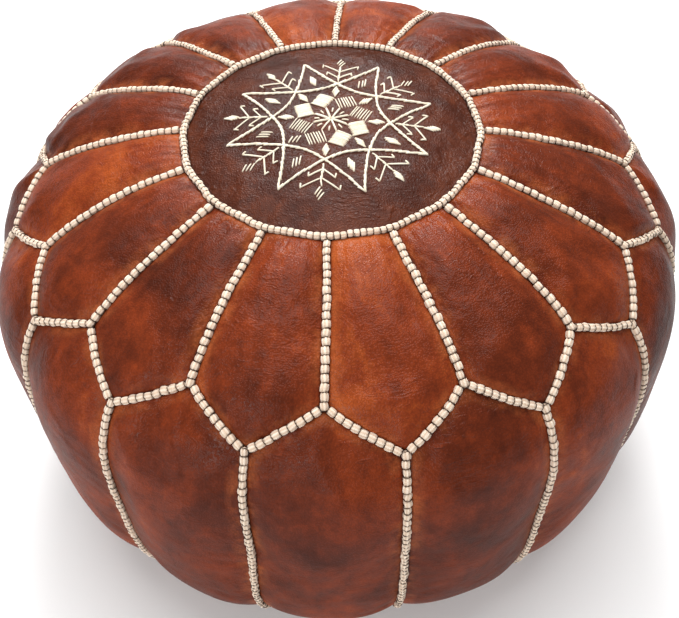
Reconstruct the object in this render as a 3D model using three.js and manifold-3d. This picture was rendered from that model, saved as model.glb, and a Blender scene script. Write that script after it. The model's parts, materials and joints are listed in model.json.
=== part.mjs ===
// A round, stuffed leather pouf: an embroidered medallion, two rings of leather panels whipped together
// with raised cord seams, a base in two halves with a zip between them, a cotton lining and its stuffing.
// Millimetres, +Z up. The origin is on the floor at the centre of the base.
// A heading is an angle round the pouf, from -Y (the front) towards +X. An arc is a distance along the
// meridian, from the crown down the side to the floor seam.
import * as THREE from "three";
import { TessellateModifier } from "three/addons/modifiers/TessellateModifier.js";
import { mergeVertices } from "three/addons/utils/BufferGeometryUtils.js";
import Module from "manifold-3d";

// ---- Driving dimensions ----
const GORES = 16;
const WIDEST_R = 264;
const WIDEST_Z = 173;
const CROWN_Z = 334;
const FLOOR_SEAM_R = 192;
const FLOOR_SEAM_Z = 3.2;
const MEDALLION_SEAM_R = 106;
const SHOULDER_IN_R = 217; // inner corners of the zigzag seam, where the radial seams end
const SHOULDER_OUT_R = 241.5; // outer corners of the zigzag seam, where the side seams start
const CROWN_SHIFT = new THREE.Vector3(-1.4, -5.3, 0); // the medallion is sewn in a little off centre

// The meridian is a superellipse above the widest line and another below it.
const DOME_PLAN_POWER = 2.06;
const DOME_HEIGHT_POWER = 3.36;
const SKIRT_PLAN_POWER = 1.7;
const SKIRT_HEIGHT_POWER = 4.1;

const LEATHER = 2;
const PANEL_BULGE = 7;
const MEDALLION_BULGE = 2.5;
const CORD_R = 2.7;
const CORD_LIFT = 0.2; // cord centre above the seam line
const CORD_SIDES = 5;
const SEAM_MARGIN = CORD_R + 0.9; // seam line to the cut edge of a panel
const CORD_GAP = 0.8; // between two cords that meet end to side
const LINING_DEPTH = 7;
const LINING = 1;
const LINING_FLOOR_Z = 3.6;
const LINING_FLOOR_R = 176;
const STUFFING_DEPTH = 8.8;
const STUFFING_FLOOR_Z = 5.2;
const STUFFING_FLOOR_R = 174;

const PITCH = (2 * Math.PI) / GORES;
const HALF_PITCH = PITCH / 2;
const RING_FACETS = 40;
const INNER_FACETS = 32;
const INNER_ROWS = 10;
const FRONT = -1;
const BACK = 1;

const wasm = await Module();
wasm.setup();

// ---- Materials ----
function finish(color, roughness, metalness = 0) {
  return new THREE.MeshStandardMaterial({ color, roughness, metalness });
}

const tanLeather = finish(0x7a3219, 0.42);
const darkLeather = finish(0x4a241b, 0.45);
const baseLeather = finish(0x5e2a18, 0.6);
const creamCord = finish(0xeadbc4, 0.85);
const creamThread = finish(0xf0e6cc, 0.8);
const brownTape = finish(0x33211a, 0.9);
const brass = finish(0xb08a45, 0.35, 1);
const calico = finish(0xd8ccb4, 0.95);
const wadding = finish(0xe6e0d4, 1);

const pouf = new THREE.Group();

function addPart(name, geometry, material) {
  const mesh = new THREE.Mesh(geometry, material);
  mesh.name = name;
  pouf.add(mesh);
  return mesh;
}

const numbered = (name, index) => name + "_" + String(index + 1).padStart(2, "0");

// ---- Solids: joining and cutting ----
function solid(geometry) {
  const bare = geometry.clone();
  bare.deleteAttribute("normal");
  bare.deleteAttribute("uv");
  const merged = mergeVertices(bare, 1e-3);
  return new wasm.Manifold(
    new wasm.Mesh({
      numProp: 3,
      vertProperties: new Float32Array(merged.attributes.position.array),
      triVerts: new Uint32Array(merged.index.array),
    }),
  );
}

function surfaceOf(body) {
  const { numProp, numVert, vertProperties, triVerts } = body.getMesh();
  const corners = new Float32Array(numVert * 3);
  for (let i = 0; i < numVert; i++) corners.set(vertProperties.subarray(i * numProp, i * numProp + 3), i * 3);
  const geometry = new THREE.BufferGeometry();
  geometry.setAttribute("position", new THREE.BufferAttribute(corners, 3));
  geometry.setIndex(new THREE.BufferAttribute(triVerts, 1));
  geometry.computeVertexNormals();
  return geometry;
}

const joined = (geometries) => surfaceOf(geometries.map(solid).reduce((sum, next) => sum.add(next)));

// ---- The meridian ----
function makeMeridian() {
  const samples = 240;
  const points = [];
  for (let i = 0; i <= samples; i++) {
    const t = (i / samples) * (Math.PI / 2);
    points.push({
      r: WIDEST_R * Math.sin(t) ** (2 / DOME_PLAN_POWER),
      z: WIDEST_Z + (CROWN_Z - WIDEST_Z) * Math.max(0, Math.cos(t)) ** (2 / DOME_HEIGHT_POWER),
    });
  }
  const lastTurn = Math.acos((FLOOR_SEAM_R / WIDEST_R) ** (SKIRT_PLAN_POWER / 2));
  const skirtDepth = (WIDEST_Z - FLOOR_SEAM_Z) / Math.sin(lastTurn) ** (2 / SKIRT_HEIGHT_POWER);
  for (let i = 1; i <= samples; i++) {
    const t = (i / samples) * lastTurn;
    points.push({
      r: WIDEST_R * Math.cos(t) ** (2 / SKIRT_PLAN_POWER),
      z: WIDEST_Z - skirtDepth * Math.sin(t) ** (2 / SKIRT_HEIGHT_POWER),
    });
  }
  points[0].arc = 0;
  for (let i = 1; i < points.length; i++) {
    const [a, b] = [points[i - 1], points[i]];
    b.arc = a.arc + Math.hypot(b.r - a.r, b.z - a.z);
  }
  return points;
}

const meridian = makeMeridian();
const FLOOR_ARC = meridian.at(-1).arc;

function onMeridian(arc) {
  const next = Math.min(meridian.length - 1, Math.max(1, meridian.findIndex((p) => p.arc >= arc)));
  const [a, b] = [meridian[next - 1], meridian[next]];
  const share = (arc - a.arc) / (b.arc - a.arc);
  return { r: a.r + share * (b.r - a.r), z: a.z + share * (b.z - a.z) };
}

function arcAtRadius(r) {
  const next = Math.max(1, meridian.findIndex((p) => p.r >= r));
  const [a, b] = [meridian[next - 1], meridian[next]];
  return a.arc + ((b.arc - a.arc) * (r - a.r)) / (b.r - a.r);
}

// The meridian moved outwards by depth, with the outward direction taken over a short chord.
function offsetMeridian(arc, depth) {
  const reach = 2;
  const a = onMeridian(Math.max(0, arc - reach));
  const b = onMeridian(Math.min(FLOOR_ARC, arc + reach));
  const length = Math.hypot(b.r - a.r, b.z - a.z);
  const here = onMeridian(arc);
  return { r: here.r - (depth * (b.z - a.z)) / length, z: here.z + (depth * (b.r - a.r)) / length };
}

const MEDALLION_ARC = arcAtRadius(MEDALLION_SEAM_R);
const SHOULDER_IN_ARC = arcAtRadius(SHOULDER_IN_R);
const SHOULDER_OUT_ARC = arcAtRadius(SHOULDER_OUT_R);

// A point of the cover. The crown's shift fades away between the medallion and the shoulder.
function pointAt(heading, arc, depth = 0) {
  const { r, z } = offsetMeridian(arc, depth);
  const point = new THREE.Vector3(r * Math.sin(heading), -r * Math.cos(heading), z);
  const shift = 1 - THREE.MathUtils.smoothstep(arc, MEDALLION_ARC, SHOULDER_IN_ARC);
  return point.addScaledVector(CROWN_SHIFT, shift);
}

const ZIGZAG_DROP = SHOULDER_OUT_ARC - SHOULDER_IN_ARC;
const ZIGZAG_RUN = HALF_PITCH * SHOULDER_IN_R;
const ZIGZAG_MARGIN = SEAM_MARGIN * Math.hypot(1, ZIGZAG_DROP / ZIGZAG_RUN);

// ---- Leather panels ----
// A closed shell over a patch of the pouf: topArc and bottomArc give its ends for a heading off its middle.
function leatherPatch({ heading, topArc, bottomArc, columns, rows }) {
  const faces = [1, 0].map((side) => {
    const points = [];
    for (let j = 0; j <= rows; j++)
      for (let i = 0; i <= columns; i++) {
        const across = -1 + (2 * i) / columns;
        const down = j / rows;
        const nominal = across * HALF_PITCH;
        const arc = THREE.MathUtils.lerp(topArc(nominal), bottomArc(nominal), down);
        const halfWidth = HALF_PITCH - SEAM_MARGIN / onMeridian(arc).r;
        const pillow = PANEL_BULGE * (1 - across ** 4) * (1 - (2 * down - 1) ** 4);
        points.push(pointAt(heading + across * halfWidth, arc, pillow - (side ? 0 : LEATHER)));
      }
    return points;
  });
  const perFace = faces[0].length;
  const at = (side, i, j) => side * perFace + j * (columns + 1) + i;
  const index = [];
  const quad = (a, b, c, d) => index.push(a, b, c, a, c, d);
  for (let j = 0; j < rows; j++)
    for (let i = 0; i < columns; i++) {
      quad(at(0, i, j), at(0, i, j + 1), at(0, i + 1, j + 1), at(0, i + 1, j));
      quad(at(1, i, j), at(1, i + 1, j), at(1, i + 1, j + 1), at(1, i, j + 1));
    }
  for (let i = 0; i < columns; i++) {
    quad(at(0, i, 0), at(0, i + 1, 0), at(1, i + 1, 0), at(1, i, 0));
    quad(at(0, i + 1, rows), at(0, i, rows), at(1, i, rows), at(1, i + 1, rows));
  }
  for (let j = 0; j < rows; j++) {
    quad(at(0, 0, j + 1), at(0, 0, j), at(1, 0, j), at(1, 0, j + 1));
    quad(at(0, columns, j), at(0, columns, j + 1), at(1, columns, j + 1), at(1, columns, j));
  }
  const geometry = new THREE.BufferGeometry().setFromPoints(faces.flat());
  geometry.setIndex(index);
  geometry.computeVertexNormals();
  return geometry;
}

// Arc of the zigzag seam for a heading off the middle of an upper panel (its point) or of a side panel.
const zigzagBelowUpper = (offset) => SHOULDER_OUT_ARC - (ZIGZAG_DROP * Math.abs(offset)) / HALF_PITCH;
const zigzagAboveSide = (offset) => SHOULDER_IN_ARC + (ZIGZAG_DROP * Math.abs(offset)) / HALF_PITCH;

function upperPanel(index) {
  return leatherPatch({
    heading: (index + 0.5) * PITCH,
    topArc: () => MEDALLION_ARC + SEAM_MARGIN,
    bottomArc: (offset) => zigzagBelowUpper(offset) - ZIGZAG_MARGIN,
    columns: 4,
    rows: 4,
  });
}

function sidePanel(index) {
  return leatherPatch({
    heading: index * PITCH,
    topArc: (offset) => zigzagAboveSide(offset) + ZIGZAG_MARGIN,
    bottomArc: () => FLOOR_ARC - SEAM_MARGIN,
    columns: 4,
    rows: 8,
  });
}

for (let i = 0; i < GORES; i++) addPart(numbered("upper_panel", i), upperPanel(i), tanLeather);
for (let i = 0; i < GORES; i++) addPart(numbered("side_panel", i), sidePanel(i), tanLeather);

// ---- Turned solids ----
// A profile of {r, z} points, turned round the Z axis.
function turned(profile, facets = RING_FACETS) {
  const geometry = new THREE.LatheGeometry(
    profile.map(({ r, z }) => new THREE.Vector2(Math.max(0, r), z)),
    facets,
  );
  geometry.rotateX(Math.PI / 2);
  return surfaceOf(solid(geometry));
}

const domeHeight = (r) =>
  onMeridian(arcAtRadius(r)).z + MEDALLION_BULGE * (1 - (r / MEDALLION_SEAM_R) ** 2);

function medallion() {
  const edge = MEDALLION_SEAM_R - SEAM_MARGIN;
  const steps = 3;
  const radii = Array.from({ length: steps + 1 }, (_, i) => (edge * i) / steps);
  const top = radii.map((r) => ({ r, z: domeHeight(r) }));
  const under = radii.map((r) => ({ r, z: domeHeight(r) - LEATHER }));
  return turned([...under, ...top.reverse()]);
}
addPart("medallion", medallion(), darkLeather).position.copy(CROWN_SHIFT);

function cordRing(arc) {
  const centre = offsetMeridian(arc, CORD_LIFT);
  const section = Array.from({ length: CORD_SIDES + 1 }, (_, i) => {
    const turn = ((i % CORD_SIDES) / CORD_SIDES) * 2 * Math.PI;
    return { r: centre.r + CORD_R * Math.cos(turn), z: centre.z + CORD_R * Math.sin(turn) };
  });
  return turned(section);
}

// ---- Cord seams ----
const cordSection = new THREE.Shape(
  Array.from({ length: CORD_SIDES }, (_, i) => {
    const turn = (i / CORD_SIDES) * 2 * Math.PI;
    return new THREE.Vector2(CORD_R * Math.cos(turn), CORD_R * Math.sin(turn));
  }),
);

// A cord on the surface from one {heading, arc} to another.
function cord(from, to, steps) {
  const points = Array.from({ length: steps + 1 }, (_, i) => {
    const share = i / steps;
    return pointAt(
      THREE.MathUtils.lerp(from.heading, to.heading, share),
      THREE.MathUtils.lerp(from.arc, to.arc, share),
      CORD_LIFT,
    );
  });
  const extrudePath = new THREE.CatmullRomCurve3(points);
  return new THREE.ExtrudeGeometry(cordSection, { steps, bevelEnabled: false, extrudePath });
}

function upperSeams() {
  const cords = [];
  for (let i = 0; i < GORES; i++) {
    const seam = i * PITCH;
    const corner = { heading: seam, arc: SHOULDER_IN_ARC };
    cords.push(cord({ heading: seam, arc: MEDALLION_ARC + CORD_R + CORD_GAP }, corner, 4));
    for (const side of [-1, 1])
      cords.push(cord(corner, { heading: seam + side * HALF_PITCH, arc: SHOULDER_OUT_ARC }, 2));
  }
  return joined(cords);
}

function sideSeams() {
  const cords = [cordRing(FLOOR_ARC)];
  for (let i = 0; i < GORES; i++) {
    const heading = (i + 0.5) * PITCH;
    const start = SHOULDER_OUT_ARC + 2 * CORD_R + CORD_GAP;
    cords.push(cord({ heading, arc: start }, { heading, arc: FLOOR_ARC }, 7));
  }
  return joined(cords);
}

addPart("medallion_seam", cordRing(MEDALLION_ARC), creamCord).position.copy(CROWN_SHIFT);
addPart("upper_seams", upperSeams(), creamCord);
addPart("side_seams", sideSeams(), creamCord);

// ---- Base and zip ----
const BASE_EDGE_R = FLOOR_SEAM_R - SEAM_MARGIN - 1;
const VALLEY_HALF_WIDTH = 24; // the base leather rises from the floor here towards the zip
const ZIP_EDGE_Y = 11; // cut edge of the base leather beside the zip
const ZIP_EDGE_Z = 4.6;
const TAPE = 1;
const TAPE_Z = 7; // underside of the tape between the base edge and the teeth
const TAPE_OUTER_Y = 27;
const TAPE_OUTER_Z = 2.4;
const TAPE_INNER_Y = 4;
const TAPE_LENGTH = 350;
const TEETH_LENGTH = 318;
const TEETH_INNER_Y = 0.7;
const TEETH_OUTER_Y = 3.6;
const TEETH_Z = [6.2, 9];

// Maps a drawing of (y, z) extruded along its own Z to the row's axes, with the extrusion along X.
const alongX = new THREE.Matrix4().makeBasis(
  new THREE.Vector3(0, 1, 0),
  new THREE.Vector3(0, 0, 1),
  new THREE.Vector3(1, 0, 0),
);

// A (y, z) outline extruded along X, centred on x = 0. side is FRONT (-Y) or BACK (+Y).
function runAlongX(outline, length, side) {
  const shape = new THREE.Shape(outline.map(([y, z]) => new THREE.Vector2(side * y, z)));
  const geometry = new THREE.ExtrudeGeometry(shape, { depth: length, bevelEnabled: false });
  geometry.translate(0, 0, -length / 2);
  return geometry.applyMatrix4(alongX);
}

function basePanel(side) {
  const outline = [
    [BASE_EDGE_R + 1, 0],
    [VALLEY_HALF_WIDTH, 0],
    [ZIP_EDGE_Y, ZIP_EDGE_Z],
    [ZIP_EDGE_Y, ZIP_EDGE_Z + LEATHER],
    [VALLEY_HALF_WIDTH + 1, LEATHER],
    [BASE_EDGE_R + 1, LEATHER],
  ];
  const strip = solid(runAlongX(outline, 2 * BASE_EDGE_R + 2, side));
  const cutter = new THREE.CylinderGeometry(BASE_EDGE_R, BASE_EDGE_R, 40, RING_FACETS).rotateX(Math.PI / 2);
  return surfaceOf(strip.intersect(solid(cutter)));
}

function zipTape(side) {
  const outline = [
    [TAPE_OUTER_Y, TAPE_OUTER_Z],
    [ZIP_EDGE_Y, TAPE_Z],
    [TAPE_INNER_Y, TAPE_Z],
    [TAPE_INNER_Y, TAPE_Z + TAPE],
    [ZIP_EDGE_Y, TAPE_Z + TAPE],
    [TAPE_OUTER_Y, TAPE_OUTER_Z + TAPE],
  ];
  return runAlongX(outline, TAPE_LENGTH, side);
}

// A block between two corners.
function block([x0, x1], [y0, y1], [z0, z1]) {
  const box = new THREE.BoxGeometry(x1 - x0, y1 - y0, z1 - z0);
  return box.translate((x0 + x1) / 2, (y0 + y1) / 2, (z0 + z1) / 2);
}

const span = (half) => [-half, half];
const beside = (side, near, far) => [side * near, side * far].sort((a, b) => a - b);

for (const [side, place] of [[FRONT, "front"], [BACK, "back"]]) {
  addPart("base_panel_" + place, basePanel(side), baseLeather);
  addPart("zip_tape_" + place, zipTape(side), brownTape);
  const teeth = block(span(TEETH_LENGTH / 2), beside(side, TEETH_INNER_Y, TEETH_OUTER_Y), TEETH_Z);
  addPart("zip_teeth_" + place, teeth, brass);
}

const STOP_LENGTH = 3.2;
const STOP_X = TEETH_LENGTH / 2 + 0.4;
for (const [side, place] of [[FRONT, "front"], [BACK, "back"]]) {
  const stop = block([STOP_X, STOP_X + STOP_LENGTH], beside(side, TEETH_INNER_Y, TEETH_OUTER_Y), TEETH_Z);
  addPart("zip_top_stop_" + place, stop, brass);
}
addPart("zip_bottom_stop", block([-STOP_X - STOP_LENGTH, -STOP_X], span(TEETH_OUTER_Y), TEETH_Z), brass);

// ---- Zip slider and pull tab ----
const SLIDER_LENGTH = 15;
const SLIDER_X = STOP_X - 0.3 - SLIDER_LENGTH / 2; // the slider's centre with the zip closed
const SLIDER_HALF_WIDTH = 5.6;
const SLIDER_PLATE = 0.9;
const SLIDER_GAP = 0.3; // between the slider and the teeth or tape that run in it
const SLIDER_WEB = 0.35; // half thickness of the web that joins the two plates
const FLANGE_INNER_Y = TEETH_OUTER_Y + SLIDER_GAP + 0.1;
const LOWER_PLATE = [TEETH_Z[0] - SLIDER_GAP - SLIDER_PLATE, TEETH_Z[0] - SLIDER_GAP];
const UPPER_PLATE = [TEETH_Z[1] + SLIDER_GAP, TEETH_Z[1] + SLIDER_GAP + SLIDER_PLATE];
const TAB_AXIS_Z = LOWER_PLATE[0] - 1.15;
const ARCH_HALF_LENGTH = 4.8;
const ARCH_HALF_WIDTH = 1.2;
const ARCH_POST = 1.1;
const ARCH_BAR = [TAB_AXIS_Z - 2, TAB_AXIS_Z - 1.15];

// Plan of a slider plate: broad shoulders that taper to the rear, in the slider's own frame.
function sliderPlate([low, high]) {
  const front = SLIDER_LENGTH / 2;
  const plan = new THREE.Shape();
  plan.moveTo(-front, -SLIDER_HALF_WIDTH * 0.8);
  plan.lineTo(front * 0.3, -SLIDER_HALF_WIDTH);
  plan.quadraticCurveTo(front, -SLIDER_HALF_WIDTH, front, 0);
  plan.quadraticCurveTo(front, SLIDER_HALF_WIDTH, front * 0.3, SLIDER_HALF_WIDTH);
  plan.lineTo(-front, SLIDER_HALF_WIDTH * 0.8);
  plan.closePath();
  const plate = new THREE.ExtrudeGeometry(plan, { depth: high - low, bevelEnabled: false, curveSegments: 4 });
  return plate.translate(SLIDER_X, 0, low);
}

function zipSlider() {
  const length = [SLIDER_X - SLIDER_LENGTH / 2, SLIDER_X + SLIDER_LENGTH / 4];
  const parts = [sliderPlate(LOWER_PLATE), sliderPlate(UPPER_PLATE)];
  parts.push(block([SLIDER_X, SLIDER_X + 6], span(SLIDER_WEB), [LOWER_PLATE[0] + 0.1, UPPER_PLATE[1] - 0.1]));
  for (const side of [FRONT, BACK]) {
    const flange = beside(side, FLANGE_INNER_Y, SLIDER_HALF_WIDTH * 0.8);
    parts.push(block(length, flange, [LOWER_PLATE[0] + 0.1, TAPE_Z - SLIDER_GAP]));
    parts.push(block(length, flange, [TAPE_Z + TAPE + SLIDER_GAP, UPPER_PLATE[1] - 0.1]));
  }
  const arch = [SLIDER_X - ARCH_HALF_LENGTH, SLIDER_X + ARCH_HALF_LENGTH];
  const postHeight = [ARCH_BAR[0] + 0.1, LOWER_PLATE[1] - 0.1];
  parts.push(block(arch, span(ARCH_HALF_WIDTH), ARCH_BAR));
  parts.push(block([arch[0], arch[0] + ARCH_POST], span(ARCH_HALF_WIDTH), postHeight));
  parts.push(block([arch[1] - ARCH_POST, arch[1]], span(ARCH_HALF_WIDTH), postHeight));
  return joined(parts);
}
addPart("zip_slider", zipSlider(), brass);

const TAB_HALF_THICKNESS = 0.5;
const TAB_BAR = 0.55; // half width of the cross bar that turns in the arch
const TAB_WINDOW_END = 6.2;
const TAB_LENGTH = 30;
const TAB_HALF_WIDTH = 4.2;
const TAB_WINDOW_HALF_WIDTH = 1.7;

// The pull lies along -X from its cross bar, with a window round the arch and a round hole near its end.
function zipPullTab() {
  const plan = new THREE.Shape();
  plan.moveTo(TAB_BAR, -3);
  plan.lineTo(TAB_BAR, 3);
  plan.lineTo(-TAB_WINDOW_END - 2, 3);
  plan.lineTo(-TAB_LENGTH + TAB_HALF_WIDTH, TAB_HALF_WIDTH);
  plan.absarc(-TAB_LENGTH + TAB_HALF_WIDTH, 0, TAB_HALF_WIDTH, Math.PI / 2, (3 * Math.PI) / 2, false);
  plan.lineTo(-TAB_WINDOW_END - 2, -3);
  plan.closePath();
  const window = new THREE.Path();
  window.moveTo(-TAB_BAR, -TAB_WINDOW_HALF_WIDTH);
  window.lineTo(-TAB_WINDOW_END, -TAB_WINDOW_HALF_WIDTH);
  window.lineTo(-TAB_WINDOW_END, TAB_WINDOW_HALF_WIDTH);
  window.lineTo(-TAB_BAR, TAB_WINDOW_HALF_WIDTH);
  window.closePath();
  const eye = new THREE.Path().absarc(-TAB_LENGTH + TAB_HALF_WIDTH, 0, 1.8, 0, 2 * Math.PI, true);
  plan.holes.push(window, eye);
  const tab = new THREE.ExtrudeGeometry(plan, {
    depth: 2 * TAB_HALF_THICKNESS,
    bevelEnabled: false,
    curveSegments: 6,
  });
  return tab.translate(SLIDER_X, 0, TAB_AXIS_Z - TAB_HALF_THICKNESS);
}
addPart("zip_pull_tab", zipPullTab(), brass);

// ---- Lining and stuffing ----
const VALLEY_CLEARANCE = 5;

// Profile from the crown down to the floor at a depth under the seam line, ending on the axis.
function innerProfile(depth, floorR, floorZ) {
  const arcs = Array.from({ length: INNER_ROWS + 1 }, (_, i) => (FLOOR_ARC * 0.985 * i) / INNER_ROWS);
  const side = arcs.map((arc) => offsetMeridian(arc, -depth));
  side[0].r = 0;
  return [...side, { r: floorR, z: floorZ }, { r: 0, z: floorZ }];
}

function lining() {
  const bag = (inset) => {
    const outline = innerProfile(LINING_DEPTH + inset, LINING_FLOOR_R - inset, LINING_FLOOR_Z + inset);
    return solid(turned(outline.reverse(), INNER_FACETS));
  };
  const slot = block(span(BASE_EDGE_R + 3), span(VALLEY_HALF_WIDTH + VALLEY_CLEARANCE), [-5, 9.5]);
  const shell = bag(0).subtract(bag(LINING));
  return surfaceOf(shell.subtract(solid(slot)));
}
addPart("lining", lining(), calico);

function stuffing() {
  const outline = innerProfile(STUFFING_DEPTH, STUFFING_FLOOR_R, STUFFING_FLOOR_Z).reverse();
  const trough = block(span(WIDEST_R), span(VALLEY_HALF_WIDTH + VALLEY_CLEARANCE), [-5, 12]);
  return surfaceOf(solid(turned(outline, INNER_FACETS)).subtract(solid(trough)));
}
addPart("stuffing", stuffing(), wadding);

// ---- Embroidery ----
const STAR_POINTS = 8;
const STAR_TURN = -0.082; // the star is set a little round from the seams
const STAR_TIP_R = 75.5;
const STAR_CROSSING_R = 42;
const STAR_WAIST_R = 36;
const STAR_LINE = 2.6;
const FINE_LINE = 1.6;
const THREAD_RISE = 0.8;
const THREAD_LIFT = 0.45;
const PETAL_IN_R = 13.7;
const PETAL_SIDE_R = 23.6;
const PETAL_OUT_R = 30.5;
const STAR_STEP = (2 * Math.PI) / STAR_POINTS;

// A point on the medallion's plan, at a radius and an angle round the star.
function planPoint(r, turn) {
  const heading = turn + STAR_TURN;
  return new THREE.Vector2(r * Math.sin(heading), -r * Math.cos(heading));
}

const flat = (shape) => new THREE.ExtrudeGeometry(shape, { depth: THREAD_RISE, bevelEnabled: false });

// A ribbon of a given width through plan points, with square ends.
function ribbon(points, width) {
  const edges = points.map((point, i) => {
    const before = points[Math.max(0, i - 1)];
    const after = points[Math.min(points.length - 1, i + 1)];
    const along = after.clone().sub(before).normalize();
    return new THREE.Vector2(-along.y, along.x).multiplyScalar(width / 2);
  });
  const left = points.map((point, i) => point.clone().add(edges[i]));
  const right = points.map((point, i) => point.clone().sub(edges[i]));
  return flat(new THREE.Shape([...left, ...right.reverse()]));
}

const LONGEST_FLAT_EDGE = 22;
const divider = new TessellateModifier(LONGEST_FLAT_EDGE, 4);

// Lays flat stitching on the medallion: each vertex rises by the height of the leather under it.
function draped(flatGeometry) {
  const geometry = divider.modify(flatGeometry);
  const position = geometry.attributes.position;
  for (let i = 0; i < position.count; i++) {
    const ground = domeHeight(Math.hypot(position.getX(i), position.getY(i)));
    position.setZ(i, position.getZ(i) + ground + THREAD_LIFT);
  }
  geometry.computeVertexNormals();
  return geometry;
}

// One side of the star: straight from a tip to its first crossing, then bowed in to the next tip but one.
function starSide(index) {
  const tip = (index + 0.5) * STAR_STEP;
  const straight = (from, to) => [0.33, 0.67].map((share) => from.clone().lerp(to, share));
  const first = planPoint(STAR_TIP_R, tip);
  const last = planPoint(STAR_TIP_R, tip + 2 * STAR_STEP);
  const crossings = [0.5, 1.5].map((step) => planPoint(STAR_CROSSING_R, tip + step * STAR_STEP));
  const waist = planPoint(STAR_WAIST_R, tip + STAR_STEP);
  const points = [first, ...straight(first, crossings[0]), crossings[0], waist, crossings[1]];
  return ribbon([...points, ...straight(crossings[1], last), last], STAR_LINE);
}

function flower() {
  const threads = [];
  const overlap = 0.5;
  for (let i = 0; i < STAR_POINTS; i++) {
    const turn = (i + 0.5) * STAR_STEP;
    const sideTurn = STAR_STEP / 2;
    const petal = [
      planPoint(PETAL_IN_R - overlap, turn),
      planPoint(PETAL_SIDE_R + overlap, turn + sideTurn * 1.03),
      planPoint(PETAL_OUT_R, turn),
      planPoint(PETAL_SIDE_R, turn - sideTurn * 1.03),
    ];
    threads.push(flat(new THREE.Shape(petal)));
    threads.push(ribbon([planPoint(0, 0), planPoint(PETAL_IN_R, turn)], FINE_LINE));
  }
  return draped(joined(threads));
}

// A branch outside a crossing: a stem, two pairs of barbs and a long diamond at its end.
function branch(index) {
  const turn = index * STAR_STEP;
  const out = planPoint(1, turn);
  const across = new THREE.Vector2(-out.y, out.x);
  const place = (r, aside) => out.clone().multiplyScalar(r).addScaledVector(across, aside);
  const threads = [ribbon([place(46, 0), place(67, 0)], FINE_LINE)];
  for (const side of [-1, 1]) {
    threads.push(ribbon([place(50.5, 0), place(58, side * 9.2)], FINE_LINE));
    threads.push(ribbon([place(59, 0), place(68, side * 13.2)], FINE_LINE));
  }
  threads.push(flat(new THREE.Shape([place(66, -1), place(72, -2.8), place(78, 0), place(72, 2.8)])));
  return draped(joined(threads));
}

const starSides = Array.from({ length: STAR_POINTS }, (_, i) => starSide(i));
const addEmbroidery = (name, geometry) => addPart(name, geometry, creamThread).position.copy(CROWN_SHIFT);
addEmbroidery("star_embroidery", draped(joined(starSides)));
addEmbroidery("flower_embroidery", flower());
for (let i = 0; i < STAR_POINTS; i++) addEmbroidery(numbered("branch_embroidery", i), branch(i));

export default pouf;
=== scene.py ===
"""A round leather pouf: embroidered medallion, petal panels, side panels, beaded seams and a zipped base.

Metres, +Z up. A heading is an angle round the pouf, from -Y (the front) towards +X, and an arc is a
distance along the meridian, from the crown down the side to the floor seam.
"""

import json
import math

import bpy
import numpy as np
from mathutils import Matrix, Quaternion, Vector
from mathutils.bvhtree import BVHTree
from mathutils.kdtree import KDTree

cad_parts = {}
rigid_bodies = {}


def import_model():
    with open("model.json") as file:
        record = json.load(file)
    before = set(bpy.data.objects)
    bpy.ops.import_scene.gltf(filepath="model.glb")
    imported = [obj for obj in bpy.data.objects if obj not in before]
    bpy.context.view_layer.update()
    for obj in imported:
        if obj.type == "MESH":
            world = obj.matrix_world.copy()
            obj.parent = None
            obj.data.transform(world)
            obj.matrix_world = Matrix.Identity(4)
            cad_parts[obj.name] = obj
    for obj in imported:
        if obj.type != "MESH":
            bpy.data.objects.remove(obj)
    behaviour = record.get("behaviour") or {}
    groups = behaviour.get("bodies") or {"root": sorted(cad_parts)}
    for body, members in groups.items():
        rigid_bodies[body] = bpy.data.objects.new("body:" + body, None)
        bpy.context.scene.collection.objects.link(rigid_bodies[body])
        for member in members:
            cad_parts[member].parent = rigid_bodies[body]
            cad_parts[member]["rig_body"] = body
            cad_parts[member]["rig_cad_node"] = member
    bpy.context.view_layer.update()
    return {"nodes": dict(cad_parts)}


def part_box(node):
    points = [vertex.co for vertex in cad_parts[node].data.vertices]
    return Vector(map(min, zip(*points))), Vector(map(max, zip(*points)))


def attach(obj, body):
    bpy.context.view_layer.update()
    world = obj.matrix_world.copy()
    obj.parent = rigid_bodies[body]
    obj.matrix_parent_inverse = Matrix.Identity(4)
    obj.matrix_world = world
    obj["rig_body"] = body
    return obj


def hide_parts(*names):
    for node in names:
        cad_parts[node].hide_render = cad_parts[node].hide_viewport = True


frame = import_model()
bpy.ops.object.select_all(action="DESELECT")

# ---- Camera ----
CAMERA_TARGET = Vector((0, 0, 0.15))
CAMERA_DISTANCE = 0.775
CAMERA_HEADING = math.radians(2.53)
CAMERA_ELEVATION = math.radians(49.27)
CAMERA_ROLL = math.radians(-1.67)
CAMERA_LENS = 47.0
CAMERA_SHIFT = (0.002, -0.0365)


def camera():
    level = CAMERA_DISTANCE * math.cos(CAMERA_ELEVATION)
    rise = CAMERA_DISTANCE * math.sin(CAMERA_ELEVATION)
    away = Vector((level * math.sin(CAMERA_HEADING), -level * math.cos(CAMERA_HEADING), rise))
    made = bpy.data.objects.new("camera", bpy.data.cameras.new("camera"))
    made.data.lens = CAMERA_LENS
    made.data.shift_x, made.data.shift_y = CAMERA_SHIFT
    made.location = CAMERA_TARGET + away
    made.rotation_mode = "QUATERNION"
    made.rotation_quaternion = (-away).to_track_quat("-Z", "Y") @ Quaternion((0, 0, 1), CAMERA_ROLL)
    bpy.context.scene.collection.objects.link(made)
    bpy.context.scene.camera = made


camera()

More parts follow.
